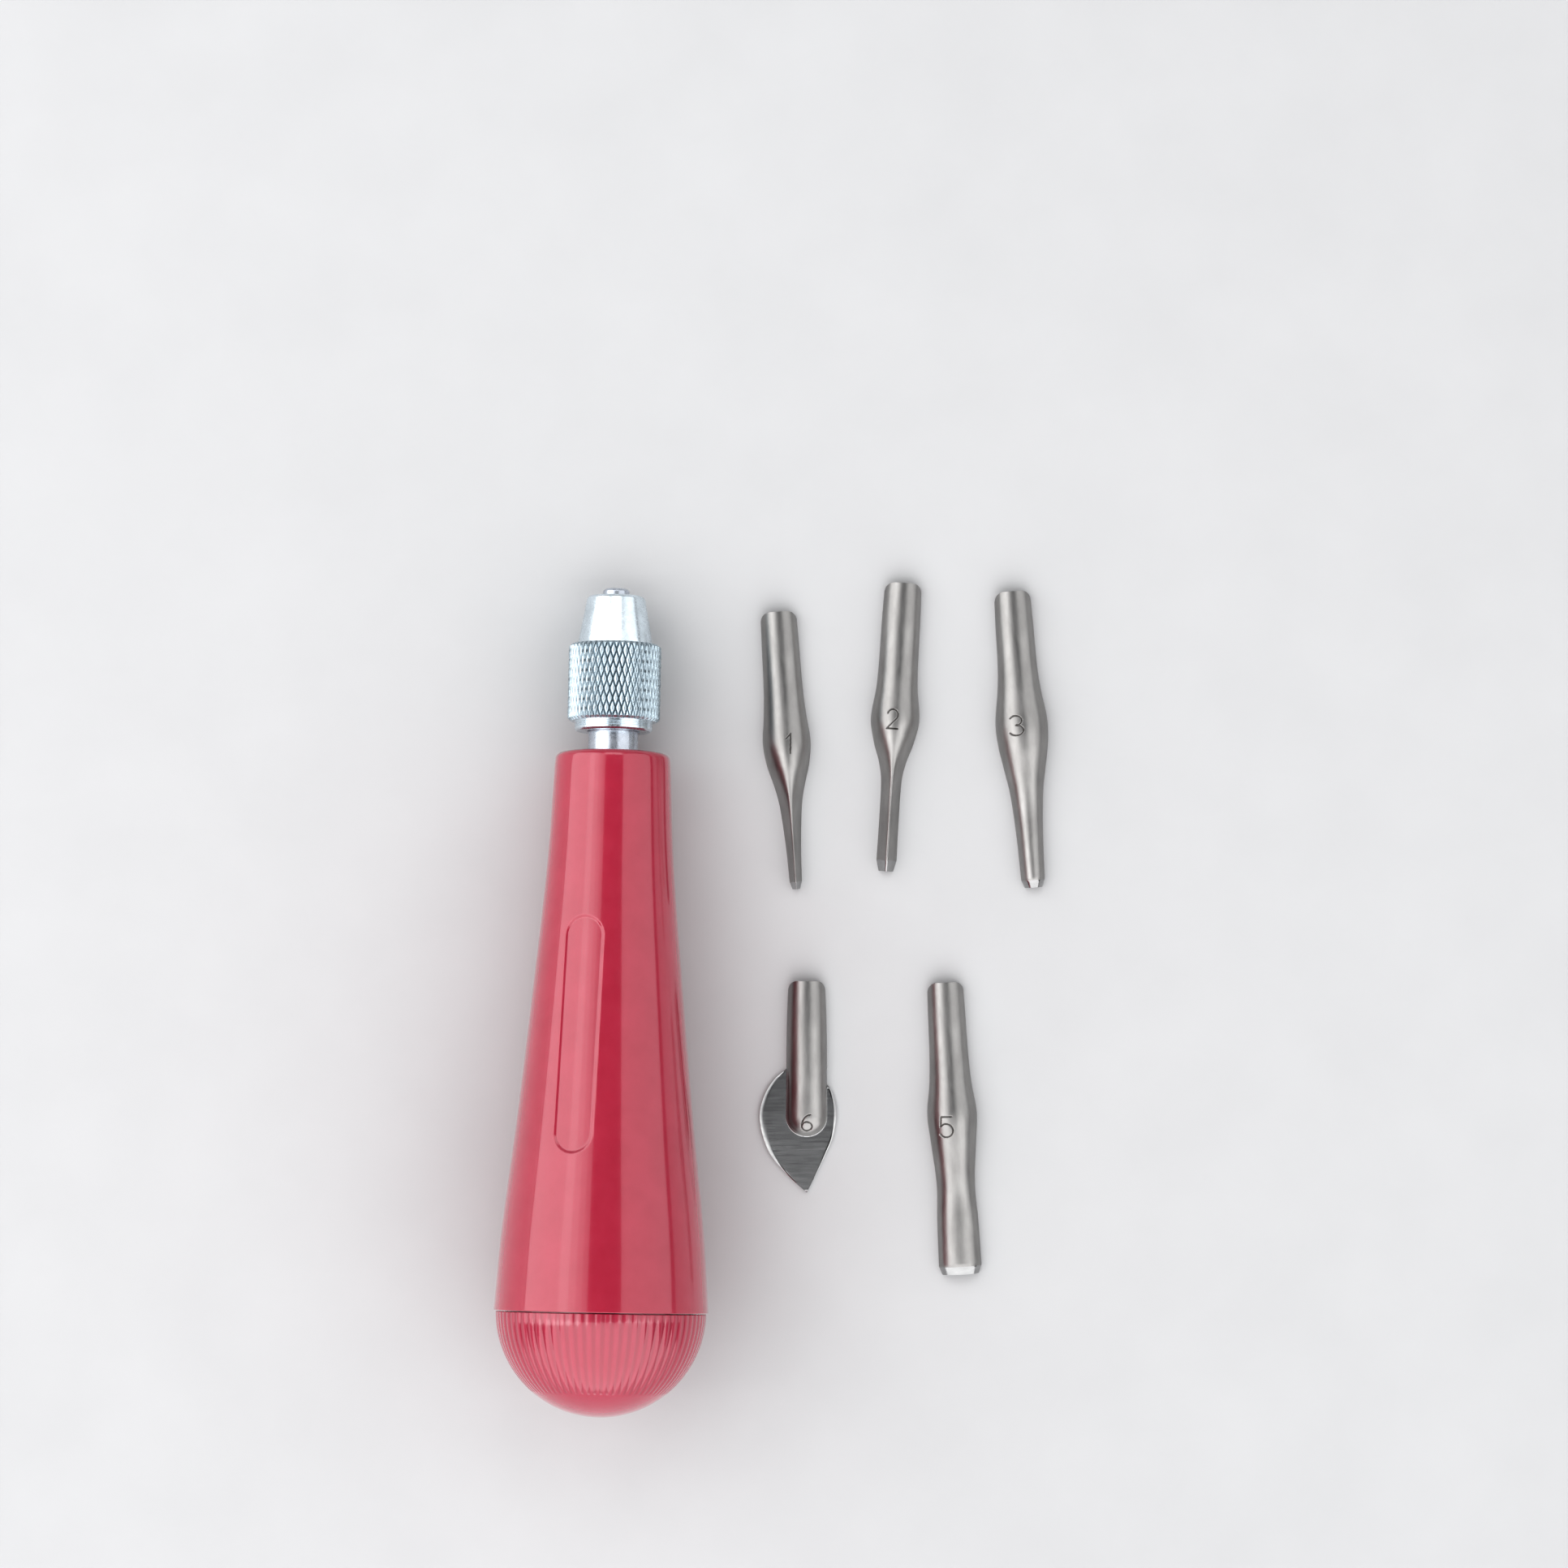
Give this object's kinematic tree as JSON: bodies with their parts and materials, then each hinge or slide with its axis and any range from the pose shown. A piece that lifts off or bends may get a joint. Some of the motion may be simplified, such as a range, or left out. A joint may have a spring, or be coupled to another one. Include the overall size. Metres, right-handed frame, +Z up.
{
  "type": "lino cutter",
  "caption": "Lino cutter lying on its side: hollow flared plastic handle with a screw chuck and domed storage cap, beside its loose formed-steel gouges and knife.",
  "frame": {"origin": "on the surface the set lies on, under the middle of the whole set's box", "axes": "+X to the right across the set, +Y the way the chuck's nose points, +Z up from the surface"},
  "size_m": [0.0754, 0.1128, 0.0289],
  "materials": {
    "handle_plastic": "smooth moulded, semi-gloss raspberry red",
    "cap_plastic": "moulded with fine grip ribs, semi-gloss raspberry red",
    "stud_steel": "bright zinc plate",
    "ball_steel": "polished bearing ball",
    "collar_steel": "turned and knurled, bright zinc plate with a blue cast",
    "cutter_steel": "hardened and tempered spring steel, satin"
  },
  "bodies": {
    "handle": {"handle_body": "handle_plastic", "chuck_stud": "stud_steel", "chuck_ball": "ball_steel"},
    "jaw": {"chuck_jaw": "stud_steel"},
    "collar": {"chuck_collar": "collar_steel"},
    "cap": {"end_cap": "cap_plastic"},
    "cutter_1": {"cutter_1": "cutter_steel"},
    "cutter_2": {"cutter_2": "cutter_steel"},
    "cutter_3": {"cutter_3": "cutter_steel"},
    "cutter_5": {"cutter_5": "cutter_steel"},
    "cutter_6": {"cutter_6": "cutter_steel"}
  },
  "joints": [
    {"name": "collar_travel", "type": "slide", "parent": "handle", "child": "jaw", "axis": [0.0182, 0.9957, -0.0907], "range_m": [-0.0015, 0.0025]},
    {"name": "collar_turn", "type": "hinge", "parent": "jaw", "child": "collar", "pos_m": [-0.02164, 0.04482, 0.00664], "axis": [0.0182, 0.9957, -0.0907], "range_deg": [-425.7, 709.2]},
    {"name": "cap_pull", "type": "slide", "parent": "handle", "child": "cap", "axis": [-0.0182, -0.9957, 0.0907], "range_m": [0, 0.03]},
    {"name": "cutter_1_lift", "type": "slide", "parent": "handle", "child": "cutter_1", "axis": [0, 0, 1], "range_m": [0, 0.035]},
    {"name": "cutter_2_lift", "type": "slide", "parent": "handle", "child": "cutter_2", "axis": [0, 0, 1], "range_m": [0, 0.035]},
    {"name": "cutter_3_lift", "type": "slide", "parent": "handle", "child": "cutter_3", "axis": [0, 0, 1], "range_m": [0, 0.035]},
    {"name": "cutter_5_lift", "type": "slide", "parent": "handle", "child": "cutter_5", "axis": [0, 0, 1], "range_m": [0, 0.035]},
    {"name": "cutter_6_lift", "type": "slide", "parent": "handle", "child": "cutter_6", "axis": [0, 0, 1], "range_m": [0, 0.035]}
  ],
  "couplings": [
    {"joint": "collar_turn", "follows": "collar_travel", "rad_per_m": 4947.4}
  ]
}
